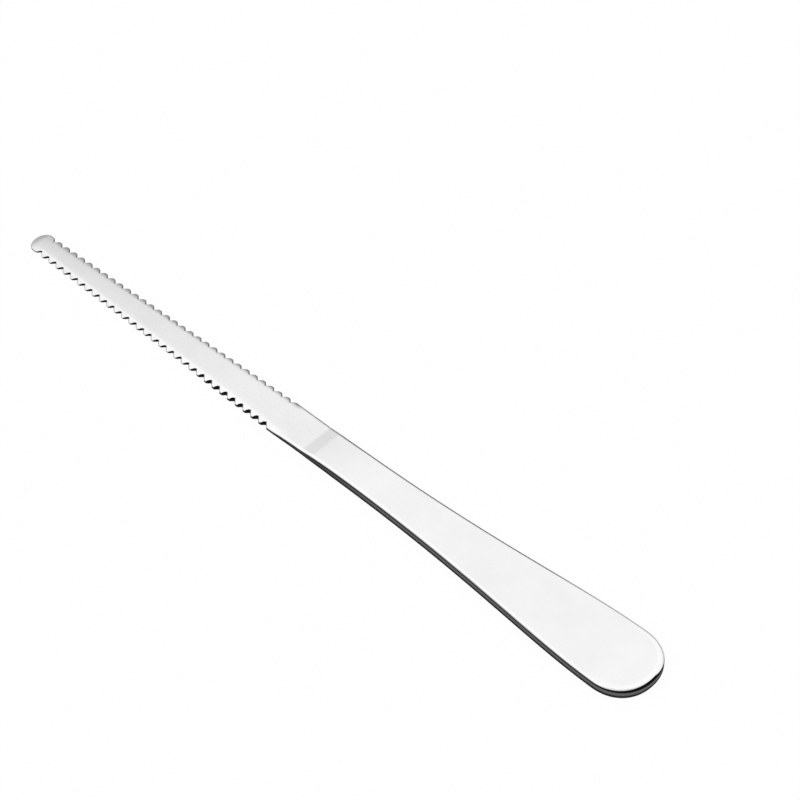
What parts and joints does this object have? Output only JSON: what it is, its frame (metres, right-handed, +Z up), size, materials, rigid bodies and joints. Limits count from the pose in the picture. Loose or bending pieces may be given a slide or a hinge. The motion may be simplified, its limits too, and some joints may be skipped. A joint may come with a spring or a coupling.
{
  "type": "grapefruit knife",
  "caption": "Flat steel grapefruit knife: a narrow tapering blade scalloped along both edges to a round paddle tip, set in a flat pear-shaped handle with rounded edges.",
  "frame": {"origin": "middle of the knife's length and width, on the surface that the handle rests on", "axes": "+X along the knife from the tip to the handle's end, +Z up out of the handle's flat face"},
  "size_m": [0.205, 0.0196, 0.0031],
  "materials": {
    "blade_steel": "satin ground steel with bright ground teeth",
    "handle_steel": "polished steel with darker rounded edges"
  },
  "bodies": {
    "root": {"blade": "blade_steel", "handle": "handle_steel"}
  },
  "joints": []
}
